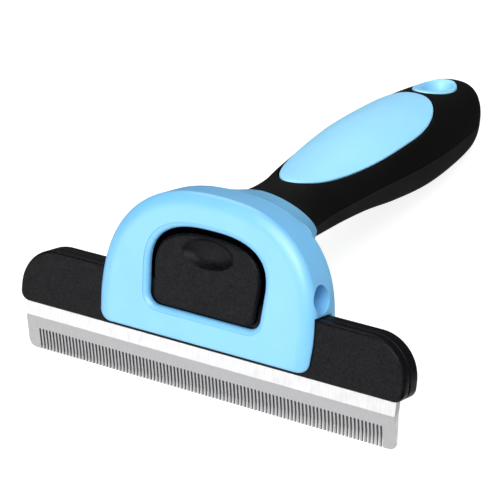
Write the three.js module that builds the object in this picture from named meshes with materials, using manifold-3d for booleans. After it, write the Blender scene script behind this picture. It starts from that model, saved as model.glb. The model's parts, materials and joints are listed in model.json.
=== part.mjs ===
// Pet deshedding tool: a fine steel comb in a pull-out cartridge, held across the front of an
// arched head, with a rubber-covered handle behind it and a rocker button that frees the cartridge.
//
// Everything is drawn in the head's own frame, in millimetres: X runs along the comb, Y runs back
// towards the handle's tail, Z runs up the head plate, and the blade leaves the cartridge at Z = 0.
// The whole tool is then tilted and lowered so that it stands on its tooth tips and its tail.
import * as THREE from 'three';
import { mergeVertices } from 'three/addons/utils/BufferGeometryUtils.js';
import Module from 'manifold-3d';

const wasm = await Module();
wasm.setup();

// ---- driving dimensions, mm ----
const GAP = 0.3; // air between neighbouring pieces
const REST_TILT = 21.27; // degrees that the head leans back when tips and tail both touch a table
const FAR = 90; // reach of the big cutting blocks

const BLADE = { length: 102, thickness: 1.8, hidden: 7, band: 3.4, drop: 8.75, setBack: 2.64 };
const TIP_THICKNESS = 0.5;
const SLOT = { count: 98, span: 94.75, width: 0.4, length: 5.5 };

const CARTRIDGE = { halfWidth: 52.8, height: 14.1, front: -0.86, seam: 1.95, back: 6.1 };
const CARTRIDGE_CORNER = { top: 10, bottom: 2.5 };
const CARTRIDGE_EDGE = 0.7; // bevel around both faces
const RIVET = { x: [-42, -15, 15, 42], z: 3.8, radius: 1.5, headRadius: 2.6, head: 0.9 };

const HEAD = { bottom: 1, spring: 8, top: 37, lowHalf: 29, highHalf: 29.3, corner: 3 };
const HEAD_FRONT = -3;
const HEAD_SEAM = 6.55; // joint plane between front cover and rear housing
const HEAD_BACK = 9.4;
const ARCH_POWER = 2.45; // superellipse power of the arch's top
const FRONT_EDGE = { width: 4, depth: 2.6, bottom: 1 };
const BACK_EDGE = { width: 2.4, depth: 2.3 };
const CAVITY = { halfWidth: 18, top: 30.6 };

const WINDOW = { bottom: 8.2, spring: 18, top: 28.8, lowHalf: 15.3, highHalf: 15.8, corner: 3 };
const WINDOW_POWER = 2.6;
const WINDOW_RIM = { width: 1.3, depth: 1.3 };

const BUTTON = { gap: 1.4, footGap: 0.5, front: -2.4, lowBack: -1.2, highBack: 0.9, step: 14.8, bevel: 0.7 };
const FLANGE = { reach: 1.5, front: -0.4, bottom: 14.5 }; // closes the gap around the button from behind
const DIMPLE = { z: 23, halfX: 8.2, halfY: 2.6, halfZ: 4.75, sunk: 1.1 };
const EAR = { x: 12, width: 3, bottom: 15.4, top: 21, back: 4.7 };
const NOSE = { halfWidth: 6, bottom: 9.9, top: 12.9, reach: -0.4 };

const PIVOT = { y: 2.1, z: 18.2, radius: 1.5, halfLength: 22.6 };
const PIN_POST = { inner: 18.6, outer: 22.4, halfZ: 1.5 }; // keeps the pin in its seat
const PIVOT_RECESS = { radius: 3.3, floor: 23.4 };
const SPRING = { x: 6.5, z: 24.3, radius: 2, wire: 0.35, turns: 4, front: 1.3, back: 6.2 };

// Handle sections: [distance back, centre height, half width, half height, superellipse power]
const HANDLE_SECTIONS = [
  [8, 29.6, 21.2, 6.8, 1.75],
  [20, 28.4, 15.2, 6.3, 1.65],
  [26, 27.9, 12.2, 6.9, 1.85],
  [34, 28.6, 10.8, 7.8, 2.05],
  [44, 30.8, 11.9, 7.9, 2.2],
  [56, 33.1, 13.1, 8.9, 2.2],
  [70, 35.1, 14, 10.5, 2.25],
  [88, 37.3, 13.4, 11.8, 2.25],
  [102, 39.3, 12.1, 11.3, 2.3],
  [112, 40.8, 10.6, 10.5, 2.3],
  [125, 43.1, 7.4, 9.3, 2.3],
];
const TAIL = { end: 124.85, round: 13 };
const GRIP_START = 20.3;
const RUBBER = 2.2; // thickness of the soft cover
const CORE_WALL = 2.2;
const CORE_START = 11.3;
const COLLAR = { end: 20, socket: 11, proud: 0.3 };

const INLAY = { front: 31.2, wide: 71, back: 94.4, halfWidth: 11.4, backPower: 2.4 };
const HOLE = { y: 108, z: 41, radius: 3.5, tube: 4.9, tilt: 8.2 };
// The eyelet's bottom is measured up from the middle of the hole.
const EYELET = { y: 105.5, halfWidth: 5.8, halfLength: 8.4, bottom: 6.2 };

const SCREW = { shank: 1.1, head: 2.2, headHeight: 1.1 };
const HEAD_SCREWS = { x: 21.2, z: 24.2, tip: 1.5 };
const NECK_SCREWS = { x: 7, z: 30.5, tip: 17 };
const HANDLE_SCREWS = [46, 68, 90];
const BOSS_RADIUS = 3.4;

const FINE = 32; // points around a handle section
const ROUND = 16; // sides of pins, bores and screws

// ---- solids ----
function solid(geometry) {
  const bare = geometry.clone();
  bare.deleteAttribute('normal');
  bare.deleteAttribute('uv');
  const merged = mergeVertices(bare, 1e-4);
  return new wasm.Manifold(new wasm.Mesh({
    numProp: 3,
    vertProperties: new Float32Array(merged.attributes.position.array),
    triVerts: new Uint32Array(merged.index.array),
  }));
}

function geometryOf(manifold) {
  const { vertProperties, triVerts } = manifold.getMesh();
  const geometry = new THREE.BufferGeometry();
  geometry.setAttribute('position', new THREE.BufferAttribute(vertProperties, 3));
  geometry.setIndex(new THREE.BufferAttribute(triVerts, 1));
  geometry.computeVertexNormals();
  return geometry;
}

const block = (x0, x1, y0, y1, z0, z1) => solid(new THREE.BoxGeometry(Math.abs(x1 - x0), y1 - y0, z1 - z0)
  .translate((x0 + x1) / 2, (y0 + y1) / 2, (z0 + z1) / 2));

const rodX = (radius, x0, x1, y, z) => solid(new THREE.CylinderGeometry(radius, radius, x1 - x0, ROUND)
  .rotateZ(Math.PI / 2).translate((x0 + x1) / 2, y, z));

const rodY = (radius, y0, y1, x, z) => solid(new THREE.CylinderGeometry(radius, radius, y1 - y0, ROUND)
  .translate(x, (y0 + y1) / 2, z));

const rodZ = (radius, z0, z1, x, y) => solid(new THREE.CylinderGeometry(radius, radius, z1 - z0, ROUND)
  .rotateX(Math.PI / 2).translate(x, y, (z0 + z1) / 2));

const extrude = (points, depth) => new THREE.ExtrudeGeometry(
  new THREE.Shape(points), { depth, bevelEnabled: false });

// An outline in X and Z, pushed along Y.
const plateXZ = (points, y0, y1) => solid(extrude(points, y1 - y0).rotateX(Math.PI / 2).translate(0, y1, 0));

// An outline in X and Y, pushed along Z.
const plateXY = (points, z0, z1) => solid(extrude(points, z1 - z0).translate(0, 0, z0));

// An outline in Y and Z, pushed along X.
const CYCLE_AXES = new THREE.Matrix4().set(0, 0, 1, 0, 1, 0, 0, 0, 0, 1, 0, 0, 0, 0, 0, 1);
const plateYZ = (points, x0, x1) => solid(extrude(points, x1 - x0).translate(0, 0, x0)
  .applyMatrix4(CYCLE_AXES));

// A closed skin over rings of points that follow one another along Y; each ring turns from +X to +Z.
function loft(rings) {
  const count = rings[0].length;
  const positions = [];
  const faces = [];
  const add = (p) => positions.push(p.x, p.y, p.z);
  rings.forEach((ring) => ring.forEach(add));
  for (let r = 0; r + 1 < rings.length; r += 1) {
    for (let i = 0; i < count; i += 1) {
      const a = r * count + i;
      const b = r * count + (i + 1) % count;
      faces.push(a, a + count, b, b, a + count, b + count);
    }
  }
  const centre = (ring) => ring.reduce((sum, p) => sum.add(p), new THREE.Vector3()).divideScalar(count);
  const last = (rings.length - 1) * count;
  const start = rings.length * count;
  add(centre(rings[0]));
  add(centre(rings[rings.length - 1]));
  for (let i = 0; i < count; i += 1) {
    const next = (i + 1) % count;
    faces.push(start, i, next, start + 1, last + next, last + i);
  }
  const geometry = new THREE.BufferGeometry();
  geometry.setAttribute('position', new THREE.Float32BufferAttribute(positions, 3));
  geometry.setIndex(faces);
  return solid(geometry);
}

// ---- outlines ----
const power = (value, exponent) => Math.sign(value) * Math.abs(value) ** exponent;

function arc(cx, cy, radius, from, to, steps) {
  return Array.from({ length: steps + 1 }, (_, i) => {
    const angle = THREE.MathUtils.degToRad(from + (to - from) * i / steps);
    return new THREE.Vector2(cx + radius * Math.cos(angle), cy + radius * Math.sin(angle));
  });
}

// A flat foot with two rounded corners, straight flaring sides and a superellipse top.
function archOutline(form, exponent, sideInset, footInset) {
  const low = form.lowHalf - sideInset;
  const high = form.highHalf - sideInset;
  const foot = form.bottom + footInset;
  const corner = Math.max(form.corner - Math.max(sideInset, 0) / 3, 1);
  const top = Array.from({ length: 25 }, (_, i) => {
    const angle = Math.PI * i / 24;
    const rise = form.top - sideInset - form.spring;
    return new THREE.Vector2(
      high * power(Math.cos(angle), 2 / exponent),
      form.spring + rise * power(Math.sin(angle), 2 / exponent));
  });
  return [
    ...arc(low - corner, foot + corner, corner, -90, 0, 4), ...top,
    ...arc(corner - low, foot + corner, corner, 180, 270, 4),
  ];
}

const headOutline = (side, foot) => archOutline(HEAD, ARCH_POWER, side, foot);
const windowOutline = (inset) => archOutline(WINDOW, WINDOW_POWER, inset, inset);
const buttonOutline = (inset) => archOutline(
  WINDOW, WINDOW_POWER, BUTTON.gap + inset, BUTTON.footGap + inset);

const ring = (outline, y) => outline.map((p) => new THREE.Vector3(p.x, y, p.y));

function cartridgeOutline(inset) {
  const half = CARTRIDGE.halfWidth - inset;
  const top = CARTRIDGE.height - inset;
  const high = CARTRIDGE_CORNER.top - inset;
  const low = CARTRIDGE_CORNER.bottom - inset;
  return [
    ...arc(half - low, inset + low, low, -90, 0, 5), ...arc(half - high, top - high, high, 0, 90, 10),
    ...arc(high - half, top - high, high, 90, 180, 10), ...arc(low - half, inset + low, low, 180, 270, 5),
  ];
}

// ---- comb cartridge ----
function makeBlade() {
  const { length, thickness, hidden, band, drop, setBack } = BLADE;
  const tip = -band - drop;
  const profile = [
    new THREE.Vector2(0, hidden), new THREE.Vector2(0, -band), new THREE.Vector2(setBack, tip),
    new THREE.Vector2(setBack + TIP_THICKNESS, tip), new THREE.Vector2(thickness, -band),
    new THREE.Vector2(thickness, hidden),
  ];
  const half = length / 2;
  const face = [
    ...arc(half - 2, tip + 2, 2, -90, 0, 5), new THREE.Vector2(half, hidden),
    new THREE.Vector2(-half, hidden), ...arc(2 - half, tip + 2, 2, 180, 270, 5),
  ];
  const pitch = SLOT.span / (SLOT.count - 1);
  const slots = Array.from({ length: SLOT.count }, (_, i) => {
    const x = pitch * i - SLOT.span / 2;
    return block(x - SLOT.width / 2, x + SLOT.width / 2, -1, thickness + 4, tip - 1, tip + SLOT.length);
  });
  const holes = RIVET.x.map((x) => rodY(RIVET.radius + GAP, -1, thickness + 1, x, RIVET.z));
  return plateYZ(profile, -half, half).intersect(plateXZ(face, -1, thickness + 4))
    .subtract(wasm.Manifold.union([...slots, ...holes]));
}

function makeFacePlate() {
  const { front, seam } = CARTRIDGE;
  const half = BLADE.length / 2 + GAP;
  const back = seam - GAP / 2;
  return loft([
    ring(cartridgeOutline(CARTRIDGE_EDGE), front), ring(cartridgeOutline(0), front + CARTRIDGE_EDGE),
    ring(cartridgeOutline(0), back - 0.4), ring(cartridgeOutline(0.4), back),
  ]).subtract(block(-half, half, -GAP, FAR, -1, BLADE.hidden + GAP))
    .subtract(block(-NOSE.halfWidth - 0.6, NOSE.halfWidth + 0.6, front - 1, GAP, NOSE.bottom - 0.6, FAR));
}

function makeCartridgeBody() {
  const { seam, back } = CARTRIDGE;
  const front = seam + GAP / 2;
  const bores = RIVET.x.flatMap((x) => [
    rodY(RIVET.radius + GAP, 0, FAR, x, RIVET.z),
    rodY(RIVET.headRadius + GAP, back - RIVET.head - 2 * GAP, FAR, x, RIVET.z),
  ]);
  return loft([
    ring(cartridgeOutline(0.4), front), ring(cartridgeOutline(0), front + 0.4),
    ring(cartridgeOutline(0), back - CARTRIDGE_EDGE), ring(cartridgeOutline(CARTRIDGE_EDGE), back),
  ]).subtract(wasm.Manifold.union(bores));
}

function makeRivet(x) {
  const headBack = CARTRIDGE.back - GAP;
  const shoulder = headBack - RIVET.head;
  return rodY(RIVET.radius, 0, shoulder, x, RIVET.z).add(
    rodY(RIVET.headRadius, shoulder, headBack, x, RIVET.z));
}

// ---- head ----
const quarterSteps = (steps) => Array.from({ length: steps + 1 }, (_, i) => Math.PI / 2 * i / steps);

// A groove for the pivot pin, open to the back so that the pin drops in before the housing closes it.
function pinSeat() {
  const half = PIVOT.halfLength + GAP;
  const radius = PIVOT.radius + GAP;
  return rodX(radius, -half, half, PIVOT.y, PIVOT.z).add(
    block(-half, half, PIVOT.y, FAR, PIVOT.z - radius, PIVOT.z + radius));
}

function makeFrontCover() {
  const { width, depth, bottom } = FRONT_EDGE;
  const back = HEAD_SEAM - GAP / 2;
  const rings = quarterSteps(5).map((u) => ring(
    headOutline(width * (1 - Math.sin(u)), bottom * (1 - Math.sin(u))),
    HEAD_FRONT + depth * (1 - Math.cos(u))));
  const shelf = CARTRIDGE.height + GAP;
  const plateBack = CARTRIDGE.front - GAP;
  const cuts = [
    block(-FAR, FAR, plateBack, FAR, -FAR, shelf),
    block(-CAVITY.halfWidth, CAVITY.halfWidth, plateBack, FAR, shelf - 1, CAVITY.top),
    plateXZ(windowOutline(0), HEAD_FRONT - 1, 0),
    loft([
      ring(windowOutline(-1.5 * WINDOW_RIM.width), HEAD_FRONT - WINDOW_RIM.depth / 2),
      ring(windowOutline(0), HEAD_FRONT + WINDOW_RIM.depth),
    ]),
    pinSeat(),
    rodX(PIVOT_RECESS.radius, PIVOT_RECESS.floor, FAR, PIVOT.y, PIVOT.z),
    rodX(PIVOT_RECESS.radius, -FAR, -PIVOT_RECESS.floor, PIVOT.y, PIVOT.z),
    ...[-1, 1].map((side) => rodY(
      SCREW.shank + GAP, HEAD_SCREWS.tip - GAP, FAR, side * HEAD_SCREWS.x, HEAD_SCREWS.z)),
  ];
  return loft([...rings, ring(headOutline(0, 0), back)]).subtract(wasm.Manifold.union(cuts));
}

function makeRearHousing() {
  const { width, depth } = BACK_EDGE;
  const front = HEAD_SEAM + GAP / 2;
  const rings = quarterSteps(4).map((u) => ring(
    headOutline(width * (1 - Math.cos(u)), width * (1 - Math.cos(u))),
    HEAD_BACK - depth * (1 - Math.sin(u))));
  const collar = loft([9, 11, 14, 17, COLLAR.end].map((y) => handleRing(y, -COLLAR.proud)));
  const socket = loft([COLLAR.socket, 14, 17, COLLAR.end + 1].map((y) => handleRing(y, RUBBER - GAP)));
  const posts = [-1, 1].map((side) => block(
    side * PIN_POST.inner, side * PIN_POST.outer, PIVOT.y + PIVOT.radius + 0.1, front + 0.5,
    PIVOT.z - PIN_POST.halfZ, PIVOT.z + PIN_POST.halfZ));
  const cuts = [-1, 1].flatMap((side) => [
    rodY(SCREW.shank + GAP, 0, HEAD_BACK + 1, side * HEAD_SCREWS.x, HEAD_SCREWS.z),
    rodY(SCREW.head + GAP, HEAD_BACK - SCREW.headHeight - 2 * GAP, FAR, side * HEAD_SCREWS.x, HEAD_SCREWS.z),
    rodY(SCREW.shank + GAP, 0, COLLAR.end, side * NECK_SCREWS.x, NECK_SCREWS.z),
    rodY(SCREW.head + GAP, 0, front + SCREW.headHeight + 2 * GAP, side * NECK_SCREWS.x, NECK_SCREWS.z),
  ]);
  return wasm.Manifold.union([loft([ring(headOutline(0, 0), front), ...rings]), collar, ...posts])
    .subtract(wasm.Manifold.union([socket, ...cuts]));
}

function makeScrewY(x, z, headFrom, headTo, tip) {
  return rodY(SCREW.head, Math.min(headFrom, headTo), Math.max(headFrom, headTo), x, z).add(
    rodY(SCREW.shank, Math.min(headFrom, tip), Math.max(headTo, tip), x, z));
}

function makeHeadScrew(x) {
  const headBack = HEAD_BACK - GAP;
  return makeScrewY(x, HEAD_SCREWS.z, headBack - SCREW.headHeight, headBack, HEAD_SCREWS.tip);
}

function makeNeckScrew(x) {
  const headFront = HEAD_SEAM + 1.5 * GAP;
  return makeScrewY(x, NECK_SCREWS.z, headFront, headFront + SCREW.headHeight, NECK_SCREWS.tip);
}

// ---- release button ----
function makeButton() {
  const { front, lowBack, highBack, step, bevel } = BUTTON;
  const panel = loft([
    ring(buttonOutline(bevel), front), ring(buttonOutline(0), front + bevel),
    ring(buttonOutline(0), highBack),
  ]).subtract(block(-FAR, FAR, lowBack, FAR, -FAR, step));
  const flange = loft([
    ring(windowOutline(-FLANGE.reach), FLANGE.front), ring(windowOutline(-FLANGE.reach), highBack),
  ]).subtract(block(-FAR, FAR, -FAR, FAR, -FAR, FLANGE.bottom));
  const ears = [-1, 1].map((side) => block(
    side * EAR.x - EAR.width / 2, side * EAR.x + EAR.width / 2, 0, EAR.back, EAR.bottom, EAR.top));
  const nose = block(-NOSE.halfWidth, NOSE.halfWidth, lowBack - 0.5, NOSE.reach, NOSE.bottom, NOSE.top);
  const dimple = solid(new THREE.SphereGeometry(1, 24, 16).scale(DIMPLE.halfX, DIMPLE.halfY, DIMPLE.halfZ)
    .translate(0, front + DIMPLE.sunk - DIMPLE.halfY, DIMPLE.z));
  return wasm.Manifold.union([panel, flange, ...ears, nose]).subtract(dimple)
    .subtract(rodX(PIVOT.radius + 0.1, -FAR, FAR, PIVOT.y, PIVOT.z));
}

class Coil extends THREE.Curve {
  constructor(x) {
    super();
    this.x = x;
  }

  getPoint(t, target = new THREE.Vector3()) {
    const turn = 2 * Math.PI * SPRING.turns * t;
    return target.set(
      this.x + SPRING.radius * Math.cos(turn), SPRING.front + (SPRING.back - SPRING.front) * t,
      SPRING.z + SPRING.radius * Math.sin(turn));
  }
}

function makeSpring(x) {
  const section = new THREE.Shape(arc(0, 0, SPRING.wire, 0, 300, 5));
  return solid(new THREE.ExtrudeGeometry(section, { steps: SPRING.turns * 10, extrudePath: new Coil(x) }));
}

// ---- handle ----
const sectionAt = new THREE.CubicInterpolant(
  HANDLE_SECTIONS.map((row) => row[0]), HANDLE_SECTIONS.flatMap((row) => row.slice(1)), 4);

// One handle section at distance y, shrunk by inset all round; the tail closes as a quarter round.
function handleRing(y, inset, shrink = 1) {
  const [centre, halfWidth, halfHeight, exponent] = sectionAt.evaluate(y);
  return Array.from({ length: FINE }, (_, i) => {
    const angle = 2 * Math.PI * i / FINE;
    return new THREE.Vector3(
      (halfWidth - inset) * shrink * power(Math.cos(angle), 2 / exponent), y,
      centre + (halfHeight - inset) * shrink ** 0.8 * power(Math.sin(angle), 2 / exponent));
  });
}

function handleSolid(start, inset) {
  const roundFrom = TAIL.end - TAIL.round;
  const reach = TAIL.round - inset;
  const steps = Math.round((roundFrom - start) / 8);
  const straight = Array.from({ length: steps }, (_, i) => handleRing(
    start + (roundFrom - start) * i / steps, inset));
  const tail = [0, 20, 38, 54, 68, 80].map((degrees) => {
    const u = THREE.MathUtils.degToRad(degrees);
    return handleRing(roundFrom + reach * Math.sin(u), inset, Math.cos(u));
  });
  return loft([...straight, ...tail]);
}

// Everything above (side 1) or below (side -1) the wavy plane through the sections' centres.
function halfSpace(side) {
  const seam = HANDLE_SECTIONS.map(([y, centre]) => new THREE.Vector2(y, centre + side * GAP / 2));
  const first = seam[0];
  const last = seam[seam.length - 1];
  const outline = [
    new THREE.Vector2(first.x - 5, first.y), ...seam, new THREE.Vector2(last.x + 5, last.y),
    new THREE.Vector2(last.x + 5, side * FAR), new THREE.Vector2(first.x - 5, side * FAR),
  ];
  return plateYZ(outline, -FAR, FAR);
}

// Egg outline of the inlay in X and Y: a long taper to the front, a short round back.
function inlayOutline(grow) {
  const { front, wide, back, halfWidth, backPower } = INLAY;
  return Array.from({ length: 32 }, (_, i) => {
    const angle = 2 * Math.PI * i / 32;
    const exponent = Math.sin(angle) > 0 ? 2 / backPower : 1;
    const reach = (Math.sin(angle) > 0 ? back - wide : wide - front) + grow;
    return new THREE.Vector2(
      (halfWidth + grow) * power(Math.cos(angle), exponent), wide + reach * power(Math.sin(angle), exponent));
  });
}

// Oval of the eyelet in X and Y, around the hole but reaching further towards the head.
function eyeletOutline(grow) {
  return arc(0, 0, 1, 0, 350, 35).map((point) => new THREE.Vector2(
    (EYELET.halfWidth + grow) * point.x, EYELET.y - HOLE.y + (EYELET.halfLength + grow) * point.y));
}

const tiltAtHole = (manifold) => manifold.rotate([HOLE.tilt, 0, 0]).translate([0, HOLE.y, HOLE.z]);

function eyeletBody(grow) {
  const cap = plateXY(eyeletOutline(grow), EYELET.bottom - grow, FAR / 3);
  return tiltAtHole(cap.add(rodZ(HOLE.tube + grow, -FAR / 3, FAR / 3, 0, 0)));
}

function hangingHole() {
  const funnel = solid(new THREE.LatheGeometry([
    new THREE.Vector2(0, 6.5), new THREE.Vector2(HOLE.radius, 6.5), new THREE.Vector2(3.9, 8.2),
    new THREE.Vector2(4.6, 9.6), new THREE.Vector2(5.4, 11), new THREE.Vector2(5.4, 20),
    new THREE.Vector2(0, 20),
  ], 24).rotateX(Math.PI / 2));
  return tiltAtHole(rodZ(HOLE.radius, -FAR / 3, FAR / 3, 0, 0).add(funnel));
}

const rubberSkin = handleSolid(GRIP_START, 0).subtract(handleSolid(COLLAR.socket, RUBBER - GAP));
const eyeletClearance = eyeletBody(GAP);
const upper = halfSpace(1);
const lower = halfSpace(-1);
const inlayPrism = (grow) => plateXY(inlayOutline(grow), 34 - FAR / 3, FAR);

const makeUpperGrip = () => rubberSkin.intersect(upper).subtract(inlayPrism(GAP)).subtract(eyeletClearance);
const makeLowerGrip = () => rubberSkin.intersect(lower).subtract(eyeletClearance);
const makeInlay = () => rubberSkin.intersect(upper).intersect(inlayPrism(0));
const makeEyelet = () => handleSolid(GRIP_START, 0).intersect(eyeletBody(0)).subtract(hangingHole());

const bossAt = (y, radius) => rodZ(radius, 0, FAR, 0, y);

function makeCore(side) {
  const outside = handleSolid(CORE_START, RUBBER);
  const bosses = wasm.Manifold.union(HANDLE_SCREWS.map((y) => bossAt(y, BOSS_RADIUS))).intersect(outside);
  const holes = [
    ...HANDLE_SCREWS.map((y) => screwAtHandle(y, GAP)),
    ...[-1, 1].map((x) => rodY(SCREW.shank + GAP, 0, NECK_SCREWS.tip + GAP, x * NECK_SCREWS.x, NECK_SCREWS.z)),
  ];
  return outside.subtract(handleSolid(COLLAR.end + 2, RUBBER + CORE_WALL)).add(bosses)
    .intersect(side > 0 ? upper : lower).subtract(eyeletClearance).subtract(wasm.Manifold.union(holes));
}

// A screw from below; its head is sunk in the lower core's skin, its tip ends in the upper boss.
function screwAtHandle(y, grow) {
  const [centre, , halfHeight] = sectionAt.evaluate(y);
  const bottom = centre - halfHeight + RUBBER + GAP - (grow > 0 ? 3 : 0);
  const shoulder = centre - halfHeight + RUBBER + GAP + SCREW.headHeight + grow;
  return rodZ(SCREW.head + grow, bottom, shoulder, 0, y).add(
    rodZ(SCREW.shank + grow, bottom, centre + 4 + grow, 0, y));
}

// ---- assembly ----
const finish = (color, roughness, metalness = 0) => ({ color, roughness, metalness });
const SKY_PLASTIC = finish(0x8bd8fb, 0.35);
const PALE_PLASTIC = finish(0xa9e3ff, 0.4);
const BLACK_RUBBER = finish(0x1c1b1b, 0.8);
const GREY_RUBBER = finish(0x2c2b2b, 0.75);
const BLACK_PLASTIC = finish(0x2a292d, 0.55);
const CORE_PLASTIC = finish(0x3a3a3c, 0.5);
const BLADE_STEEL = finish(0xd5d5d6, 0.35, 1);
const SCREW_STEEL = finish(0xa8a9ab, 0.4, 1);

const tool = new THREE.Group();

function place(name, manifold, look) {
  const mesh = new THREE.Mesh(geometryOf(manifold), new THREE.MeshStandardMaterial(look));
  mesh.name = name;
  tool.add(mesh);
}

place('head_front_cover', makeFrontCover(), SKY_PLASTIC);
place('head_rear_housing', makeRearHousing(), SKY_PLASTIC);
place('release_button', makeButton(), BLACK_PLASTIC);
place('button_pivot_pin', rodX(PIVOT.radius, -PIVOT.halfLength, PIVOT.halfLength, PIVOT.y, PIVOT.z),
  SCREW_STEEL);
for (const [name, side] of [['left', -1], ['right', 1]]) {
  place(`button_spring_${name}`, makeSpring(side * SPRING.x), SCREW_STEEL);
  place(`head_screw_${name}`, makeHeadScrew(side * HEAD_SCREWS.x), SCREW_STEEL);
  place(`neck_screw_${name}`, makeNeckScrew(side * NECK_SCREWS.x), SCREW_STEEL);
}
place('handle_core_upper', makeCore(1), CORE_PLASTIC);
place('handle_core_lower', makeCore(-1), CORE_PLASTIC);
HANDLE_SCREWS.forEach((y, i) => place(`handle_screw_${i + 1}`, screwAtHandle(y, 0), SCREW_STEEL));
place('grip_upper', makeUpperGrip(), BLACK_RUBBER);
place('grip_lower', makeLowerGrip(), GREY_RUBBER);
place('palm_inlay', makeInlay(), PALE_PLASTIC);
place('hang_eyelet', makeEyelet(), PALE_PLASTIC);
place('cartridge_body', makeCartridgeBody(), BLACK_PLASTIC);
place('cartridge_face_plate', makeFacePlate(), BLACK_PLASTIC);
place('comb_blade', makeBlade(), BLADE_STEEL);
RIVET.x.forEach((x, i) => place(`blade_rivet_${i + 1}`, makeRivet(x), SCREW_STEEL));

// Lean the head back, then put the origin under the middle of the whole tool's box.
tool.rotation.x = -THREE.MathUtils.degToRad(REST_TILT);
const group = new THREE.Group();
group.add(tool);
const box = new THREE.Box3().setFromObject(group, true);
const middle = box.getCenter(new THREE.Vector3());
group.position.set(-middle.x, -middle.y, -box.min.z);

export default group;
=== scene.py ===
import json
import math

import bpy
import numpy as np
from mathutils import Matrix, Vector


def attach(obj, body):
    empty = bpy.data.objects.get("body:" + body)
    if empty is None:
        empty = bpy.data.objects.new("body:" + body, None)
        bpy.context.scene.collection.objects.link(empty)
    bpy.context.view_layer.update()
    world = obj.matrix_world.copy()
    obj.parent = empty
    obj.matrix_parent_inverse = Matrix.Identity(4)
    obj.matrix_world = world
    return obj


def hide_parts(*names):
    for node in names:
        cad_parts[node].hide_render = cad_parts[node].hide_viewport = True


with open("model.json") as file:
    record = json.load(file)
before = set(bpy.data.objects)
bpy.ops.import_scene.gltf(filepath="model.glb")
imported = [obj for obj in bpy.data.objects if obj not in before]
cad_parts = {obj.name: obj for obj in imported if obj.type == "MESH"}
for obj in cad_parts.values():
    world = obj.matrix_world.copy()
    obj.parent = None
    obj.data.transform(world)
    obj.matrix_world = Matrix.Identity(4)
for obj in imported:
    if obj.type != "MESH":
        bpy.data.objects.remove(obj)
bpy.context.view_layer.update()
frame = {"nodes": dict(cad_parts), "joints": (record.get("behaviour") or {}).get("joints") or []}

# ---- the head's own frame: X along the comb, Y back to the tail, Z up the head plate, in mm ----
MM = 0.001
PIVOT = (2.1, 18.2)  # the button's pivot: distance back and height
FAR = 90

joints = {joint["name"]: joint for joint in frame["joints"]}
UP = -Vector(joints["cartridge_release"]["axis"]).normalized()
RIGHT = Vector((1, 0, 0))
BACK = UP.cross(RIGHT)
ORIGIN = Vector(joints["button_press"]["pos_m"]) - MM * (PIVOT[0] * BACK + PIVOT[1] * UP)
TURN = Matrix((RIGHT, BACK, UP)).transposed()
# from the head's frame in mm to the shared frame in metres
TO_ROW = Matrix.Translation(ORIGIN) @ TURN.to_4x4() @ Matrix.Scale(MM, 4)

# ---- sizes, mm ----
GAP = 0.3
SEAM_GAP = 0.08  # what shows of a tight joint between two moulded parts

# band: height of the upright part that shows; the sheet then bends back by set_back over drop
BLADE = dict(half=51, thickness=1.8, hidden=7, band=3.4, drop=8.71, set_back=2.64, tip=0.5, corner=2)
SLOT = dict(count=98, span=94.75, width=0.5, length=5.6)

CARTRIDGE = dict(half=52.79, height=14.1, front=-0.86, seam=1.95, back=6.1, high=10, low=2.5)
RIVET = dict(x=(-42, -15, 15, 42), z=3.8, radius=1.5, head_radius=2.6, head=0.9)

# Arches: low and high are the half widths at the foot and where the sides end, at height spring
HEAD = dict(bottom=1, spring=8, top=37, low=29, high=29.3, corner=3, power=2.45)
HEAD_FRONT, HEAD_SEAM, HEAD_BACK = -2.97, 6.55, 9.4
FRONT_EDGE = dict(width=4, depth=2.6, bottom=1)
BACK_EDGE = dict(width=2.4, depth=2.3)
CAVITY = dict(half=18, top=30.6)

WINDOW = dict(bottom=8.2, spring=18, top=28.8, low=15.3, high=15.8, corner=3, power=2.6)
WINDOW_RIM = 1.2  # radius of the window's front edge
RIM_STEP = 0.15
FLANGE = dict(reach=1.5, front=-0.4, bottom=14.5)
BUTTON = dict(gap=1.4, foot_gap=0.5, front=-2.4, low_back=-1.2, high_back=0.9, step=14.8, bevel=0.8)
DIMPLE = dict(z=23.3, half_x=6.9, half_z=3.6, depth=1.5)
EAR = dict(x=12, half=1.5, bottom=15.4, top=21, back=4.7)
SPRING_SEAT = dict(x=6.5, z=24.3, radius=2.9, depth=0.7)
NOSE = dict(half=6, bottom=9.9, top=12.9, reach=-0.4)
PIN = dict(radius=1.5, half=22.6)
RECESS = dict(radius=3.3, floor=23.4)
PIN_POST = dict(inner=18.6, outer=22.4, half_z=1.5)

# Handle sections: distance back, centre height, half width, half height, superellipse power
SECTIONS = np.array([
    (8, 29.6, 21.2, 6.8, 1.75), (20, 28.4, 15.2, 6.3, 1.65), (26, 27.9, 12.2, 6.9, 1.85),
    (34, 28.6, 10.8, 7.8, 2.05), (44, 30.8, 11.9, 7.9, 2.2), (56, 33.1, 13.1, 8.9, 2.2),
    (70, 35.1, 14, 10.5, 2.25), (88, 37.3, 13.4, 11.8, 2.25), (102, 39.3, 12.1, 11.3, 2.3),
    (112, 40.8, 10.6, 10.5, 2.3), (125, 43.1, 7.4, 9.3, 2.3)])
TAIL = dict(end=124.85, round=13)
GRIP_START = 20.2
COLLAR = dict(end=20, socket=11, proud=0.3)
RUBBER = 1.9
INLAY = dict(front=31.2, wide=71, back=94.4, half=11.4, power=2.4)
HOLE = dict(y=108, z=41, radius=3.5, tube=4.9, tilt=8.2)
# bottom: height of the oval's underside over the middle of the hole; deep: how far the funnel goes down
EYELET = dict(y=106.1, half_width=5.1, half_length=8.4, bottom=6.2, deep=3.6)

SCREW_SIZE = dict(shank=1.1, head=2.2, head_height=1.1, play=0.3)
HEAD_SCREWS = dict(x=21.2, z=24.2, tip=1.5)
NECK_SCREWS = dict(x=7, z=30.5)


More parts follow.
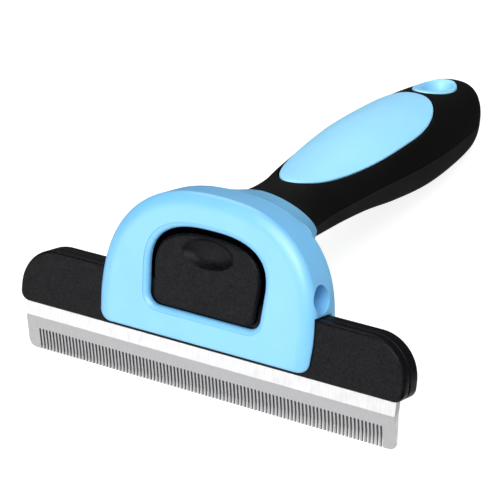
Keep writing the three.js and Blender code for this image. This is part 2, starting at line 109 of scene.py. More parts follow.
# ---- mesh tools ----
def make(name, verts, faces):
    mesh = bpy.data.meshes.new(name)
    mesh.from_pydata([tuple(v) for v in verts], [], faces)
    mesh.update()
    obj = bpy.data.objects.new(name, mesh)
    bpy.context.scene.collection.objects.link(obj)
    return obj


def skin(name, rings, closed=False):
    """A skin over rings of equal length; the ends are capped, or joined to one another if closed."""
    rings = [np.asarray(r, float) for r in rings]
    n = len(rings[0])
    faces = []
    pairs = list(zip(range(len(rings) - 1), range(1, len(rings))))
    if closed:
        pairs.append((len(rings) - 1, 0))
    for r, s in pairs:
        for i in range(n):
            j = (i + 1) % n
            faces.append((r * n + i, s * n + i, s * n + j, r * n + j))
    if not closed:
        faces.append(tuple(range(n)))
        faces.append(tuple(reversed(range((len(rings) - 1) * n, len(rings) * n))))
    return make(name, np.concatenate(rings), faces)


def ring(outline, y):
    """An outline in X and Z as a ring of points at distance y."""
    outline = np.asarray(outline, float)
    return np.column_stack((outline[:, 0], np.full(len(outline), float(y)), outline[:, 1]))


def block(x0, x1, y0, y1, z0, z1):
    corners = [(x1, z0), (x1, z1), (x0, z1), (x0, z0)]
    return skin("block", [ring(corners, y0), ring(corners, y1)])


def turned(axis, profile, centre, sides=48):
    """A solid of revolution: profile holds (place along the axis, radius)."""
    first, second = {"x": (2, 1), "y": (0, 2), "z": (1, 0)}[axis]
    along = "xyz".index(axis)
    angles = np.arange(sides) * 2 * math.pi / sides
    rings = []
    for place, radius in profile:
        points = np.zeros((sides, 3))
        points[:, first] = radius * np.cos(angles)
        points[:, second] = radius * np.sin(angles)
        points += np.asarray(centre, float)
        points[:, along] = place
        rings.append(points)
    return skin("turned", rings)


def rod(axis, radius, start, end, centre, sides=48):
    return turned(axis, [(start, radius), (end, radius)], centre, sides)


def prism_z(outline, z0, z1):
    """outline turns from +X to +Y."""
    outline = np.asarray(outline, float)[::-1]
    return skin("prism", [np.column_stack((outline, np.full(len(outline), z))) for z in (z0, z1)])


def prism_x(outline, x0, x1):
    """outline in Y and Z, turning from +Y to +Z."""
    outline = np.asarray(outline, float)[::-1]
    return skin("prism", [np.column_stack((np.full(len(outline), x), outline)) for x in (x0, x1)])


def combine(target, cutters, operation="DIFFERENCE"):
    for cutter in cutters:
        modifier = target.modifiers.new("combine", "BOOLEAN")
        modifier.operation = operation
        modifier.solver = "MANIFOLD"
        modifier.object = cutter
    graph = bpy.context.evaluated_depsgraph_get()
    mesh = bpy.data.meshes.new_from_object(target.evaluated_get(graph))
    target.modifiers.clear()
    target.data = mesh
    for cutter in cutters:
        bpy.data.objects.remove(cutter)
    return target


def twin(obj):
    copy = obj.copy()
    copy.data = obj.data.copy()
    bpy.context.scene.collection.objects.link(copy)
    return copy


def finish_piece(obj, name, material, body, nodes, crease=32):
    """Puts a piece made in the head's frame in its place, with its look, its body and its CAD nodes."""
    obj.name = obj.data.name = name
    obj.data.transform(TO_ROW)
    obj.data.materials.clear()
    obj.data.materials.append(material)
    obj.data.shade_smooth()
    obj.data.set_sharp_from_angle(angle=math.radians(crease))
    normals = obj.modifiers.new("normals", "WEIGHTED_NORMAL")
    normals.keep_sharp = True
    normals.weight = 80
    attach(obj, body)
    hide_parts(*nodes)
    return obj


# ---- outlines ----
def arc(cx, cy, radius, start, end, steps):
    angles = np.radians(np.linspace(start, end, steps + 1))
    return np.column_stack((cx + radius * np.cos(angles), cy + radius * np.sin(angles)))


def power(value, exponent):
    return np.sign(value) * np.abs(value) ** exponent


def arch(form, side, foot, top_steps=120):
    """A flat foot with rounded corners, flaring sides and a superellipse top."""
    low, high = form["low"] - side, form["high"] - side
    bottom = form["bottom"] + foot
    corner = max(form["corner"] - max(side, 0) / 3 - min(side, 0), 1)
    angles = np.linspace(0, math.pi, top_steps + 1)
    rise = form["top"] - side - form["spring"]
    top = np.column_stack((
        high * power(np.cos(angles), 2 / form["power"]),
        form["spring"] + rise * power(np.sin(angles), 2 / form["power"])))
    return np.concatenate((
        arc(low - corner, bottom + corner, corner, -90, 0, 10), top,
        arc(corner - low, bottom + corner, corner, 180, 270, 10)))


def quarter(steps):
    return np.linspace(0, math.pi / 2, steps + 1)


def cartridge_outline(inset):
    half, top = CARTRIDGE["half"] - inset, CARTRIDGE["height"] - inset
    high, low = CARTRIDGE["high"] - inset, CARTRIDGE["low"] - inset
    return np.concatenate((
        arc(half - low, inset + low, low, -90, 0, 8), arc(half - high, top - high, high, 0, 90, 28),
        arc(high - half, top - high, high, 90, 180, 28), arc(low - half, inset + low, low, 180, 270, 8)))


# ---- the handle's surface ----
def section(y):
    """Centre height, half width, half height and power at distance y, on smooth curves through SECTIONS."""
    t = SECTIONS[:, 0]
    k = int(np.clip(np.searchsorted(t, y) - 1, 0, len(t) - 2))
    slopes = np.diff(SECTIONS[:, 1:], axis=0) / np.diff(t)[:, None]
    before = slopes[k - 1] if k > 0 else slopes[k]
    after = slopes[k + 1] if k + 2 < len(t) else slopes[k]
    step = t[k + 1] - t[k]
    u = (y - t[k]) / step
    m0, m1 = (before + slopes[k]) / 2 * step, (slopes[k] + after) / 2 * step
    v0, v1 = SECTIONS[k, 1:], SECTIONS[k + 1, 1:]
    return ((2 * u ** 3 - 3 * u ** 2 + 1) * v0 + (u ** 3 - 2 * u ** 2 + u) * m0
            + (3 * u ** 2 - 2 * u ** 3) * v1 + (u ** 3 - u ** 2) * m1)


def handle_ring(y, inset, shrink=1.0, count=112):
    centre, wide, high, exponent = section(y)
    angles = np.arange(count) * 2 * math.pi / count
    return np.column_stack((
        (wide - inset) * shrink * power(np.cos(angles), 2 / exponent), np.full(count, y),
        centre + (high - inset) * shrink ** 0.8 * power(np.sin(angles), 2 / exponent)))


def handle_solid(start, inset, pitch=1.6):
    round_from = TAIL["end"] - TAIL["round"]
    reach = TAIL["round"] - inset
    steps = int((round_from - start) / pitch)
    rings = [handle_ring(start + (round_from - start) * i / steps, inset) for i in range(steps)]
    for u in np.radians(np.linspace(0, 87, 18)):
        rings.append(handle_ring(round_from + reach * math.sin(u), inset, math.cos(u)))
    return skin("handle", rings)


def handle_height(x, y, side=1):
    """Height of the handle's surface over (x, y), on the upper or the lower side."""
    centre, wide, high, exponent = section(y)
    round_from = TAIL["end"] - TAIL["round"]
    if y > round_from:
        shrink = math.sqrt(max(1 - ((y - round_from) / TAIL["round"]) ** 2, 1e-6))
        wide, high = wide * shrink, high * shrink ** 0.8
    return centre + side * high * max(1 - abs(x / wide) ** exponent, 0) ** (1 / exponent)


def handle_point(x, y, lift):
    """A point lifted off the handle's upper surface along its normal."""
    e = 0.05
    z = handle_height(x, y)
    slope_x = (handle_height(x + e, y) - handle_height(x - e, y)) / (2 * e)
    slope_y = (handle_height(x, y + e) - handle_height(x, y - e)) / (2 * e)
    normal = np.array((-slope_x, -slope_y, 1))
    return np.array((x, y, z)) + lift * normal / np.linalg.norm(normal)


# ---- materials ----
class Looks:
    """Builds one procedural material: a Principled shader with noise-driven colour, gloss and grain."""

    def __init__(self, name):
        self.material = bpy.data.materials.new(name)
        self.material.use_nodes = True
        self.tree = self.material.node_tree
        self.tree.nodes.clear()
        self.shader = self.add("BsdfPrincipled")
        output = self.add("OutputMaterial")
        self.link(self.shader.outputs[0], output.inputs[0])
        self.place = self.add("TexCoord").outputs["Object"]

    def add(self, kind):
        return self.tree.nodes.new("ShaderNode" + kind)

    def link(self, start, end):
        self.tree.links.new(start, end)

    def noise(self, scale, detail=2.0, stretch=None):
        place = self.place
        if stretch:
            mapping = self.add("Mapping")
            mapping.inputs["Scale"].default_value = stretch
            self.link(place, mapping.inputs[0])
            place = mapping.outputs[0]
        node = self.add("TexNoise")
        node.inputs["Scale"].default_value = scale
        node.inputs["Detail"].default_value = detail
        self.link(place, node.inputs["Vector"])
        return node.outputs["Fac"]

    def colour(self, dark, light, factor, low=0.35, high=0.65):
        ramp = self.add("ValToRGB")
        ramp.color_ramp.elements[0].position = low
        ramp.color_ramp.elements[1].position = high
        ramp.color_ramp.elements[0].color = (*dark, 1)
        ramp.color_ramp.elements[1].color = (*light, 1)
        self.link(factor, ramp.inputs[0])
        self.link(ramp.outputs[0], self.shader.inputs["Base Color"])

    def gloss(self, low, high, factor):
        span = self.add("MapRange")
        span.inputs["From Min"].default_value = 0.3
        span.inputs["From Max"].default_value = 0.7
        span.inputs["To Min"].default_value = low
        span.inputs["To Max"].default_value = high
        self.link(factor, span.inputs[0])
        self.link(span.outputs[0], self.shader.inputs["Roughness"])

    def grain(self, factors, edge=0.0):
        """factors: (noise output, height in metres). edge: radius of the softened edges in metres."""
        normal = None
        if edge:
            bevel = self.add("Bevel")
            bevel.samples = 6
            bevel.inputs["Radius"].default_value = edge
            normal = bevel.outputs[0]
        for factor, height in factors:
            bump = self.add("Bump")
            bump.inputs["Strength"].default_value = 1.0
            bump.inputs["Distance"].default_value = height
            self.link(factor, bump.inputs["Height"])
            if normal is not None:
                self.link(normal, bump.inputs["Normal"])
            normal = bump.outputs[0]
        self.link(normal, self.shader.inputs["Normal"])

    def set(self, **values):
        for name, value in values.items():
            self.shader.inputs[name.replace("_", " ")].default_value = value


def moulded(name, dark, light, rough, grain, edge, ior_level, scatter=0.0, mottle=90):
    """Moulded plastic or rubber: mottled tone, fine grain, slightly uneven gloss."""
    look = Looks(name)
    look.colour(dark, light, look.noise(mottle, 3))
    look.gloss(rough[0], rough[1], look.noise(420, 3))
    look.grain([(look.noise(size, 2), height) for size, height in grain], edge)
    look.set(Specular_IOR_Level=ior_level)
    if scatter:
        look.set(Subsurface_Weight=scatter, Subsurface_Scale=0.002, Subsurface_Radius=(0.4, 0.8, 1.0))
    return look.material


def steel(name, dark, light, rough, line_height, stretch=(1, 0.04, 0.04), scale=9000):
    """Ground steel with fine parallel lines."""
    look = Looks(name)
    lines = look.noise(scale, 3, stretch)
    look.colour(dark, light, lines, 0.3, 0.7)
    look.gloss(rough[0], rough[1], look.noise(700, 2))
    look.grain([(lines, line_height)], 0.00015)
    look.set(Metallic=1.0)
    return look.material


SKY = moulded("sky_plastic", (0.156, 0.445, 0.74), (0.166, 0.465, 0.76), (0.36, 0.41),
              [(900, 0.000005), (5200, 0.0000015)], 0.00035, 0.8, 0.1)
# the inlay's own pale plastic; on the eyelet it is painted highlight
PALE = moulded("pale_plastic", (0.29, 0.66, 0.93), (0.31, 0.68, 0.95), (0.40, 0.45),
               [(900, 0.000005), (5200, 0.0000015)], 0.0003, 0.5, 0.1)
RUBBER_BLACK = moulded("black_rubber", (0.0030, 0.0028, 0.0028), (0.0040, 0.0038, 0.0038), (0.52, 0.56),
                       [(2600, 0.000008), (9000, 0.000004)], 0.0003, 0.08)
# painted reflection: the lower grip's rubber is lighter than the upper's, standing for the floor's sheen on
# its underside
RUBBER_PAINTED_SHEEN = moulded("grey_rubber", (0.0090, 0.0088, 0.0088), (0.0125, 0.0122, 0.0122), (0.52, 0.56),
                      [(2600, 0.000008), (9000, 0.000004)], 0.0003, 0.1)
BLACK = moulded("black_plastic", (0.0006, 0.0006, 0.0010), (0.0060, 0.0059, 0.0075), (0.34, 0.44),
                [(1900, 0.00005), (5200, 0.00002)], 0.00025, 0.10, mottle=1900)
# painted shade: a darker, matt copy of the black plastic for the button's gap walls and for all that lies
# behind the panel
SHADE = moulded("black_plastic_painted_shade", (0.0006, 0.0006, 0.0008), (0.0012, 0.0012, 0.0014), (0.9, 1.0),
                [(2400, 0.00002)], 0.0001, 0.0)
CORE = moulded("core_plastic", (0.03, 0.03, 0.032), (0.04, 0.04, 0.043), (0.4, 0.5),
               [(1500, 0.000006)], 0.0002, 0.4)
STEEL = steel("blade_steel", (0.46, 0.46, 0.465), (0.58, 0.58, 0.585), (0.36, 0.44), 0.000004)
# painted reflection: a darker copy of the blade steel for the band below the bend, standing for its dimmer
# reflection
STEEL_PAINTED_DIM = steel("steel_painted_dim_reflection", (0.39, 0.39, 0.395), (0.45, 0.45, 0.455), (0.46, 0.52), 0.000004)
# painted shade: dark steel for the walls inside the narrow slots
STEEL_PAINTED_SLOT_SHADE = steel("steel_painted_slot_shade", (0.10, 0.10, 0.102), (0.16, 0.16, 0.163), (0.5, 0.6), 0.000003)
SCREW = steel("screw_steel", (0.55, 0.55, 0.56), (0.66, 0.66, 0.67), (0.3, 0.42), 0.000003,
              (1, 1, 0.05), 5000)


# ---- head ----
def window_rim():
    """Cutter for the window's rounded front edge, which starts with a fine step all round."""
    rings = [ring(arch(WINDOW, -WINDOW_RIM - 0.05, -WINDOW_RIM - 0.05), HEAD_FRONT - 1)]
    for u in quarter(8):
        grow = WINDOW_RIM * (1 - math.sin(u))
        depth = RIM_STEP + WINDOW_RIM * (1 - math.cos(u))
        rings.append(ring(arch(WINDOW, -grow, -grow), HEAD_FRONT + depth))
    rings.append(ring(arch(WINDOW, 0, 0), 0.4))
    return skin("rim", rings)


def recess(side):
    """Cutter for the round pivot recess, with a soft floor corner."""
    radius, floor = RECESS["radius"], RECESS["floor"]
    profile = [(floor, 0.7 * radius)] + [
        (floor + 0.9 * (1 - math.cos(u)), radius - 0.9 * (1 - math.sin(u))) for u in quarter(5)]
    profile.append((FAR, radius))
    if side < 0:
        profile = [(-place, r) for place, r in reversed(profile)]
    return turned("x", profile, (0, *PIVOT), 64)


def make_front_cover():
    rings = []
    for u in quarter(16):
        inset = 1 - math.sin(u)
        rings.append(ring(
            arch(HEAD, FRONT_EDGE["width"] * inset, FRONT_EDGE["bottom"] * inset),
            HEAD_FRONT + FRONT_EDGE["depth"] * (1 - math.cos(u))))
    rings += [ring(arch(HEAD, 0, 0), y) for y in (2, 4, HEAD_SEAM - SEAM_GAP / 2)]
    shelf = CARTRIDGE["height"] + GAP
    plate_back = CARTRIDGE["front"] - GAP
    half = PIN["half"] + GAP
    seat = PIN["radius"] + GAP
    cuts = [
        block(-FAR, FAR, plate_back, FAR, -FAR, shelf),
        block(-CAVITY["half"], CAVITY["half"], plate_back + 0.01, FAR, shelf - 1, CAVITY["top"]),
        window_rim(), rod("x", seat, -half, half, (0, *PIVOT)),
        block(-half, half, PIVOT[0], FAR, PIVOT[1] - seat, PIVOT[1] + seat), recess(1), recess(-1),
    ]
    return combine(skin("front", rings), cuts)


def screw_holes(side):
    """Cutters for the housing's two screws on one side, with the rounded mouth of the outer one."""
    shank, head = (SCREW_SIZE[part] + SCREW_SIZE["play"] for part in ("shank", "head"))
    outer = (side * HEAD_SCREWS["x"], 0, HEAD_SCREWS["z"])
    neck = (side * NECK_SCREWS["x"], 0, NECK_SCREWS["z"])
    mouth = [(HEAD_BACK - 1.7, head), (HEAD_BACK - 0.25, head), (HEAD_BACK + 0.3, head + 0.5)]
    return [rod("y", shank, 0, FAR, outer, 24), turned("y", mouth, outer),
            rod("y", shank, 0, COLLAR["socket"] + 1, neck, 24), rod("y", head, 0, HEAD_SEAM + 1.85, neck)]


def make_rear_housing():
    rings = [ring(arch(HEAD, 0, 0), HEAD_SEAM + SEAM_GAP / 2)]
    for u in quarter(12):
        inset = BACK_EDGE["width"] * (1 - math.cos(u))
        rings.append(ring(arch(HEAD, inset, inset), HEAD_BACK - BACK_EDGE["depth"] * (1 - math.sin(u))))
    plate = skin("plate", rings)
    proud = -COLLAR["proud"]
    collar_rings = [handle_ring(y, proud) for y in np.linspace(8.2, COLLAR["end"] - 0.5, 12)]
    collar_rings += [handle_ring(COLLAR["end"] - 0.5 + 0.5 * math.sin(u), proud + 0.5 * (1 - math.cos(u)))
                     for u in quarter(4)[1:]]
    socket = skin("socket", [handle_ring(y, RUBBER) for y in np.linspace(COLLAR["socket"], 21, 8)])
    housing = combine(plate, [skin("collar", collar_rings)], "UNION")
    posts = [block(*sorted((side * PIN_POST["inner"], side * PIN_POST["outer"])),
                   PIVOT[0] + PIN["radius"] + 0.1, HEAD_SEAM + 0.5,
                   PIVOT[1] - PIN_POST["half_z"], PIVOT[1] + PIN_POST["half_z"]) for side in (-1, 1)]
    combine(housing, posts, "UNION")
    cuts = [socket]
    for side in (-1, 1):
        cuts += screw_holes(side)
    return combine(housing, cuts)



def dimple():
    """Cutter for the thumb hollow: a shallow bowl that meets the panel in a soft lip."""
    count = 72
    angles = np.arange(count) * 2 * math.pi / count
    rings = []
    # share of the hollow's half axes, depth in mm
    for share, depth in ((1.12, -1.0), (1.1, -0.08), (1.05, -0.02), (1.01, 0.06), (0.97, 0.22), (0.91, 0.5),
                         (0.83, 0.84), (0.72, 1.12), (0.58, 1.32), (0.42, 1.43), (0.22, 1.49),
                         (0.06, DIMPLE["depth"])):
        rings.append(np.column_stack((
            DIMPLE["half_x"] * share * np.cos(angles), np.full(count, BUTTON["front"] + depth),
            DIMPLE["z"] + DIMPLE["half_z"] * share * np.sin(angles))))
    return skin("dimple", rings)


def make_button():
    gap, foot_gap, front, bevel = (BUTTON[key] for key in ("gap", "foot_gap", "front", "bevel"))
    rings = []
    for u in quarter(7):
        inset = bevel * (1 - math.sin(u))
        rings.append(ring(arch(WINDOW, gap + inset, foot_gap + inset), front + bevel * (1 - math.cos(u))))
    rings.append(ring(arch(WINDOW, gap, foot_gap), BUTTON["high_back"]))
    panel = combine(skin("panel", rings), [
        block(-FAR, FAR, BUTTON["low_back"], FAR, -FAR, BUTTON["step"]), dimple()])
    ears = [block(side * EAR["x"] - EAR["half"], side * EAR["x"] + EAR["half"], 0, EAR["back"],
                  EAR["bottom"], EAR["top"]) for side in (-1, 1)]
    nose = block(-NOSE["half"], NOSE["half"], BUTTON["low_back"] - 0.5, NOSE["reach"],
                 NOSE["bottom"], NOSE["top"])
    flange = combine(
        skin("flange", [ring(arch(WINDOW, -FLANGE["reach"], -FLANGE["reach"]), y)
                        for y in (FLANGE["front"], BUTTON["high_back"])]),
        [block(-FAR, FAR, -FAR, FAR, -FAR, FLANGE["bottom"])])
    combine(panel, ears + [nose, flange], "UNION")
    seats = [rod("y", SPRING_SEAT["radius"], BUTTON["high_back"] - SPRING_SEAT["depth"], FAR,
                 (side * SPRING_SEAT["x"], 0, SPRING_SEAT["z"])) for side in (-1, 1)]
    return combine(panel, seats + [rod("x", PIN["radius"] + 0.1, -FAR, FAR, (0, *PIVOT))])


# ---- comb cartridge ----
def make_face_plate():
    front, seam = CARTRIDGE["front"], CARTRIDGE["seam"]
    back = seam - GAP / 2
    edge = 0.75
    rings = [ring(cartridge_outline(edge * (1 - math.sin(u))), front + edge * (1 - math.cos(u)))
             for u in quarter(5)]
    rings += [ring(cartridge_outline(0.35 * (1 - math.cos(u))), back - 0.35 * (1 - math.sin(u)))
              for u in quarter(4)]
    half = BLADE["half"] + GAP
    return combine(skin("face", rings), [
        block(-half, half, -GAP, FAR, -1, BLADE["hidden"] + GAP),
        block(-NOSE["half"] - 0.6, NOSE["half"] + 0.6, front - 1, GAP, NOSE["bottom"] - 0.6, FAR)])


def make_cartridge_body():
    seam, back = CARTRIDGE["seam"], CARTRIDGE["back"]
    front = seam + GAP / 2
    rings = [ring(cartridge_outline(0.35 * (1 - math.sin(u))), front + 0.35 * (1 - math.cos(u)))
             for u in quarter(4)]
    rings += [ring(cartridge_outline(0.8 * (1 - math.cos(u))), back - 0.8 * (1 - math.sin(u)))
              for u in quarter(5)]
    cuts = []
    for x in RIVET["x"]:
        cuts.append(rod("y", RIVET["radius"] + GAP, 0, FAR, (x, 0, RIVET["z"])))
        cuts.append(rod("y", RIVET["head_radius"] + GAP, back - 1.5, FAR, (x, 0, RIVET["z"])))
    return combine(skin("body", rings), cuts)


def slot_cutter(tip):
    """One mesh that cuts all the slots, each with a round upper end."""
    pitch = SLOT["span"] / (SLOT["count"] - 1)
    radius = SLOT["width"] / 2
    front, back = -1, BLADE["thickness"] + 4
    verts, faces = [], []
    for i in range(SLOT["count"]):
        x = pitch * i - SLOT["span"] / 2
        shape = np.concatenate((
            [(x - radius, tip - 1), (x + radius, tip - 1)],
            arc(x, tip + SLOT["length"] - radius, radius, 0, 180, 8)))
        n, base = len(shape), len(verts)
        verts += [(px, front, pz) for px, pz in shape] + [(px, back, pz) for px, pz in shape]
        faces.append(tuple(base + k for k in range(n)))
        faces.append(tuple(base + n + k for k in reversed(range(n))))
        faces += [(base + k, base + n + k, base + n + (k + 1) % n, base + (k + 1) % n) for k in range(n)]
    return make("slots", verts, faces)


def make_blade():
    thickness, tip = BLADE["thickness"], -BLADE["band"] - BLADE["drop"]
    band, set_back, half = -BLADE["band"], BLADE["set_back"], BLADE["half"]
    profile = [(0, BLADE["hidden"]), (0, band), (set_back, tip + 0.15), (set_back + 0.12, tip),
               (set_back + BLADE["tip"] - 0.1, tip), (set_back + BLADE["tip"], tip + 0.15),
               (thickness, band), (thickness, BLADE["hidden"])]
    corner = BLADE["corner"]
    outline = np.concatenate((
        arc(half - corner, tip + corner, corner, -90, 0, 10),
        [(half, BLADE["hidden"]), (-half, BLADE["hidden"])],
        arc(corner - half, tip + corner, corner, 180, 270, 10)))
    plate = prism_x(profile, -half, half)
    mask = skin("mask", [ring(outline, -1), ring(outline, thickness + 4)])
    combine(plate, [mask], "INTERSECT")
    cuts = [rod("y", RIVET["radius"] + GAP, -1, thickness + 1, (x, 0, RIVET["z"]), 24) for x in RIVET["x"]]
    return combine(plate, [slot_cutter(tip)] + cuts)



# ---- handle ----
def half_space(side, gap=0.22):
    first, last = SECTIONS[0, 0], TAIL["end"] + 0.05
    seam = [(y, section(max(y, first))[0] + side * gap / 2) for y in np.linspace(first - 5, last, 90)]
    outline = [(-2, seam[0][1])] + seam + [(130, seam[-1][1]), (130, side * FAR), (-2, side * FAR)]
    if side < 0:
        outline = outline[::-1]
    return prism_x(outline, -FAR, FAR)


def egg(inset, count=144):
    """Inlay outline: a long taper to the front, a short round back."""
    angles = np.arange(count) * 2 * math.pi / count
    sin, cos = np.sin(angles), np.cos(angles)
    back = sin > 0
    exponent = np.where(back, 2 / INLAY["power"], 1)
    reach = np.where(back, INLAY["back"] - INLAY["wide"], INLAY["wide"] - INLAY["front"]) - inset
    return np.column_stack(((INLAY["half"] - inset) * power(cos, exponent),
                            INLAY["wide"] + reach * power(sin, exponent)))


def on_handle(outline, lift):
    return np.array([handle_point(x, y, lift) for x, y in outline])


def make_inlay():
    """A shell that follows the handle's top, with a small rounded lip all round."""
    inner = egg(1.2)
    rings = [on_handle(egg(GAP), -RUBBER), on_handle(egg(0.02), -0.55)]
    for u in quarter(6)[1:]:
        rings.append(on_handle(egg(0.02 + 0.6 * (1 - math.cos(u))), -0.55 + 0.68 * math.sin(u)))
    centre = np.array((0, INLAY["wide"] - 5))
    for share in np.linspace(1, 0, 15)[:-1]:
        rings.append(on_handle(centre + (inner - centre) * share, 0.13))
    rings = [r[::-1] for r in rings]
    floor = [on_handle(centre + (egg(GAP) - centre) * s, -RUBBER)[::-1] for s in (0.1, 0.4, 0.7)]
    return skin("inlay", floor + rings)


def eyelet_oval(grow, count=96):
    """Outline of the eyelet in the hole's frame: an oval that reaches further towards the head."""
    angles = np.arange(count) * 2 * math.pi / count
    return np.column_stack((
        (EYELET["half_width"] + grow) * np.cos(angles),
        EYELET["y"] - HOLE["y"] + (EYELET["half_length"] + grow) * np.sin(angles)))


def at_hole(points):
    """From the hole's own frame, with Z along the bore, to the head's frame."""
    turn = Matrix.Rotation(math.radians(HOLE["tilt"]), 3, "X")
    return np.asarray(points) @ np.array(turn).T + np.array((0, HOLE["y"], HOLE["z"]))


def hole_height(x, y, side):
    """Height along the bore of the handle's surface at (x, y) in the hole's frame."""
    low, high = 0.0, side * 16.0  # the surface lies less than 16 mm from the middle of the hole
    for _ in range(32):
        middle = (low + high) / 2
        px, py, pz = at_hole([(x, y, middle)])[0]
        inside = side * (handle_height(px, py, side) - pz) > 0
        low, high = (middle, high) if inside else (low, middle)
    return low


def eyelet_funnel(lip, height, bore):
    """Radii and heights down the hollow, from the lip to the bore."""
    deep = EYELET["deep"]
    for share in (0.12, 0.25, 0.38, 0.5, 0.62, 0.73, 0.83, 0.91, 0.97, 1.0):
        yield lip + (bore - lip) * share, height - deep * (1 - math.sqrt(1 - share ** 2)) - 0.5 * share


def make_eyelet():
    """One skin: oval rim, funnel, bore, and the tube's outside."""
    outer = eyelet_oval(0)
    reach = np.hypot(outer[:, 0], outer[:, 1])
    direction = outer / reach[:, None]
    tube = np.full(len(outer), HOLE["tube"])
    bore = np.full(len(outer), HOLE["radius"])

    def circle(radius, z):
        return at_hole(np.column_stack((direction * radius[:, None], np.broadcast_to(z, len(outer)))))

    def surface(radius, side):
        return np.array([hole_height(x, y, side) for x, y in direction * radius[:, None]])

    bottom = surface(tube, -1) + 0.03
    rings = [circle(tube, bottom + 0.3), circle(tube, EYELET["bottom"]), circle(reach, EYELET["bottom"]),
             circle(reach, surface(reach, 1) - 0.45)]
    for u in quarter(5)[1:]:
        near = reach - 0.5 * (1 - math.cos(u))
        rings.append(circle(near, surface(near, 1) - 0.45 + 0.6 * math.sin(u)))
    lip = reach - 0.85
    lip_height = surface(lip, 1) + 0.15
    rings.append(circle(lip, lip_height))
    rings += [circle(radius, z) for radius, z in eyelet_funnel(lip, lip_height, bore)]
    rings += [circle(bore, z) for z in (4.0, 0.0, -4.0, -8.0)]
    rings += [circle(bore + 0.6 * (1 - math.cos(u)), bottom + 0.6 - 0.6 * math.sin(u)) for u in quarter(5)]
    rings.append(circle(tube - 0.3, bottom))
    return skin("eyelet", [r[::-1] for r in rings], closed=True)


def eyelet_room():
    cap = prism_z(eyelet_oval(GAP), EYELET["bottom"] - 0.2, 30)
    tube = rod("z", HOLE["tube"] + GAP, -30, 30, (0, 0, 0), 72)
    combine(cap, [tube], "UNION")
    turn = Matrix.Translation((0, HOLE["y"], HOLE["z"])) @ Matrix.Rotation(
        math.radians(HOLE["tilt"]), 4, "X")
    cap.data.transform(turn)
    return cap


def make_grips():
    shell = combine(handle_solid(GRIP_START, 0.1), [handle_solid(COLLAR["socket"], RUBBER, 3.0)])
    upper = combine(twin(shell), [half_space(1)], "INTERSECT")
    combine(upper, [prism_z(egg(-0.28), 4, FAR), eyelet_room()])
    lower = combine(shell, [half_space(-1)], "INTERSECT")
    return upper, combine(lower, [eyelet_room()])


# ---- hardware ----
def make_screw(x, z, head_to, tip):
    """A screw along Y with a domed, cross-recessed head towards the back."""
    shank, head = SCREW_SIZE["shank"], SCREW_SIZE["head"]
    head_from = head_to - SCREW_SIZE["head_height"]
    profile = [(tip, 0.25), (tip + 1.2, shank), (head_from, shank), (head_from, head),
               (head_to - 0.35, head), (head_to - 0.12, head - 0.25), (head_to, 1.3)]
    screw = turned("y", profile, (x, 0, z), 40)
    cross = [block(x - a, x + a, head_to - 0.7, head_to + 1, z - b, z + b)
             for a, b in ((1.15, 0.22), (0.22, 1.15))]
    return combine(screw, cross)


def make_rivet(x):
    back = CARTRIDGE["back"] - GAP
    radius, head, head_from = RIVET["radius"], RIVET["head_radius"], back - RIVET["head"]
    profile = [(0.1, radius), (head_from, radius), (head_from, head), (back - 0.35, head),
               (back - 0.1, head - 0.3), (back, 1.6), (back, 0.9), (back - 0.45, 0.6)]
    return turned("y", profile, (x, 0, RIVET["z"]), 40)



# ---- all pieces, in place ----
def in_painted_shade(polygon):
    """True for the walls around the button's panel, and for all that lies behind the panel: these faces get
    the darker matt black that paints the shade in the gap.
    """
    depth = (polygon.center - TO_ROW @ Vector((0, BUTTON["front"], 0))).dot(BACK) / MM
    is_wall = abs(polygon.normal.dot(BACK)) < 0.3
    return depth > DIMPLE["depth"] + 0.1 or (depth > BUTTON["bevel"] and is_wall)


def blade_look_with_painted_shade(polygon):
    """Which of the blade's materials a face has: 0 above the bend; 1 below it, a darker copy of the steel
    that paints the lower band's dimmer reflection; 2 within the slots, dark steel that paints the shade
    inside them.
    """
    bend = TO_ROW @ Vector((0, 0, -BLADE["band"] - 0.02))
    if (polygon.center - bend).dot(UP) >= 0:
        return 0
    outermost = MM * (SLOT["span"] / 2 + 1)
    return 2 if abs(polygon.normal.x) > 0.3 and abs(polygon.center.x) < outermost else 1


HANDLE_BODY = "head_and_handle"
finish_piece(make_front_cover(), "head_cover", SKY, HANDLE_BODY, ["head_front_cover"])
finish_piece(make_rear_housing(), "head_back", SKY, HANDLE_BODY, ["head_rear_housing"])
button = finish_piece(make_button(), "thumb_button", BLACK, "button", ["release_button"])
# the walls around the panel and all behind it get the darker matt black as painted shade
button.data.materials.append(SHADE)
for polygon in button.data.polygons:
    polygon.material_index = 1 if in_painted_shade(polygon) else 0
upper_grip, lower_grip = make_grips()
finish_piece(upper_grip, "rubber_top", RUBBER_BLACK, HANDLE_BODY, ["grip_upper"], 50)
# the lower grip's lighter rubber is painted floor reflection
finish_piece(lower_grip, "rubber_bottom", RUBBER_PAINTED_SHEEN, HANDLE_BODY, ["grip_lower"], 50)
finish_piece(make_inlay(), "inlay_plate", PALE, HANDLE_BODY, ["palm_inlay"], 50)
# the eyelet is of the head's sky plastic; the paler plastic on it paints its rim's highlight
finish_piece(make_eyelet(), "eyelet_ring", PALE, HANDLE_BODY, ["hang_eyelet"], 50)
finish_piece(make_face_plate(), "cartridge_front", BLACK, "comb_cartridge",
             ["cartridge_face_plate"])
finish_piece(make_cartridge_body(), "cartridge_holder", BLACK, "comb_cartridge",
             ["cartridge_body"])
blade = finish_piece(make_blade(), "fine_comb", STEEL, "comb_cartridge", ["comb_blade"], 12)
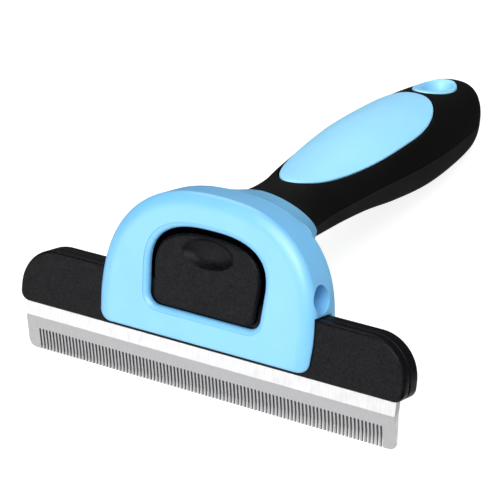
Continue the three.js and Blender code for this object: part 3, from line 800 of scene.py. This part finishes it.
# below the bend the darker steel paints the dimmer reflection; the slot walls get dark steel as painted
# shade
blade.data.materials.append(STEEL_PAINTED_DIM)
blade.data.materials.append(STEEL_PAINTED_SLOT_SHADE)
for polygon in blade.data.polygons:
    polygon.material_index = blade_look_with_painted_shade(polygon)
for i, x in enumerate(RIVET["x"]):
    finish_piece(make_rivet(x), f"rivet_{i + 1}", SCREW, "comb_cartridge",
                 [f"blade_rivet_{i + 1}"])
for name, side in (("left", -1), ("right", 1)):
    screw = make_screw(side * HEAD_SCREWS["x"], HEAD_SCREWS["z"], HEAD_BACK - GAP, HEAD_SCREWS["tip"])
    finish_piece(screw, f"housing_screw_{name}", SCREW, HANDLE_BODY, [f"head_screw_{name}"])

# CAD nodes that no piece replaces: cores, inner screws, springs and pin
SHOWN_MATERIAL = {"handle_core_upper": CORE, "handle_core_lower": CORE}
for name, node in frame["nodes"].items():
    if not node.hide_render:
        node.data.materials.clear()
        node.data.materials.append(SHOWN_MATERIAL.get(name, SCREW))

# ---- floor, light, camera ----
FLOOR_END = 4.0
MIRRORED = dict(left=-0.5, right=0.06, front=-0.6, back=-0.03)
floor_look = Looks("floor_white")
floor_look.colour((0.36, 0.36, 0.363), (0.37, 0.37, 0.373), floor_look.noise(6, 2))
floor_look.set(Roughness=0.9, Specular_IOR_Level=0.1, Emission_Color=(1, 1, 1, 1), Emission_Strength=0.84)


def floor_piece(name, x0, x1, y0, y1):
    piece = make(name, [(x0, y0, 0), (x1, y0, 0), (x1, y1, 0), (x0, y1, 0)], [(0, 1, 2, 3)])
    piece.data.materials.append(floor_look.material)
    return piece


left, right, front, back = MIRRORED.values()
floor_piece("floor", left, right, front, back)
for number, corners in enumerate((
        (-FLOOR_END, FLOOR_END, -FLOOR_END, front), (-FLOOR_END, FLOOR_END, back, FLOOR_END),
        (-FLOOR_END, left, front, back), (right, FLOOR_END, front, back))):
    # only the floor in front of the tool is mirrored in it, so that the black grips stay dark
    floor_piece(f"floor_around_{number + 1}", *corners).visible_glossy = False

world = bpy.data.worlds.new("studio")
bpy.context.scene.world = world
world.use_nodes = True
world.node_tree.nodes["Background"].inputs[0].default_value = (1, 1, 1, 1)
world.node_tree.nodes["Background"].inputs[1].default_value = 0.09


def softbox(name, place, target, size, watts):
    """A rectangular light at place that faces target."""
    data = bpy.data.lights.new(name, "AREA")
    data.shape = "RECTANGLE"
    data.size, data.size_y = size
    data.energy = watts
    light = bpy.data.objects.new(name, data)
    bpy.context.scene.collection.objects.link(light)
    light.location = place
    light.rotation_euler = (Vector(target) - Vector(place)).to_track_quat("-Z", "Y").to_euler()


softbox("top_light", (0.35, -0.35, 1.1), (0, 0, 0), (1.0, 1.0), 9)
softbox("left_light", (-0.63, -1.14, 0.0), (0, -0.02, 0.02), (0.8, 1.15), 9.2)
softbox("right_light", (0.30, -0.95, 0.90), (0, 0, 0.02), (0.9, 0.7), 12.5)
softbox("side_light", (1.0, 0.1, 1.0), (0, 0, 0.02), (0.9, 0.9), 2)
softbox("back_light", (-0.5, 0.7, 1.0), (0, 0.03, 0.02), (0.8, 0.8), 5.5)

VIEW_RIGHT = Vector((0.84889, 0.51918, 0.09918))
VIEW_UP = Vector((-0.21512, 0.16796, 0.96204))
VIEW_FROM = Vector((275.479, -461.585, 166.144))
camera_data = bpy.data.cameras.new("camera")
camera_data.sensor_width = 36
camera_data.lens = 173.985
camera_data.clip_start, camera_data.clip_end = 0.05, 20
camera = bpy.data.objects.new("camera", camera_data)
bpy.context.scene.collection.objects.link(camera)
look_back = VIEW_RIGHT.cross(VIEW_UP)
axes = Matrix((VIEW_RIGHT, VIEW_UP, look_back)).transposed()
camera.matrix_world = Matrix.Translation(TO_ROW @ VIEW_FROM) @ (TURN @ axes).to_4x4()
bpy.context.scene.camera = camera
bpy.context.scene.view_settings.view_transform = "Standard"
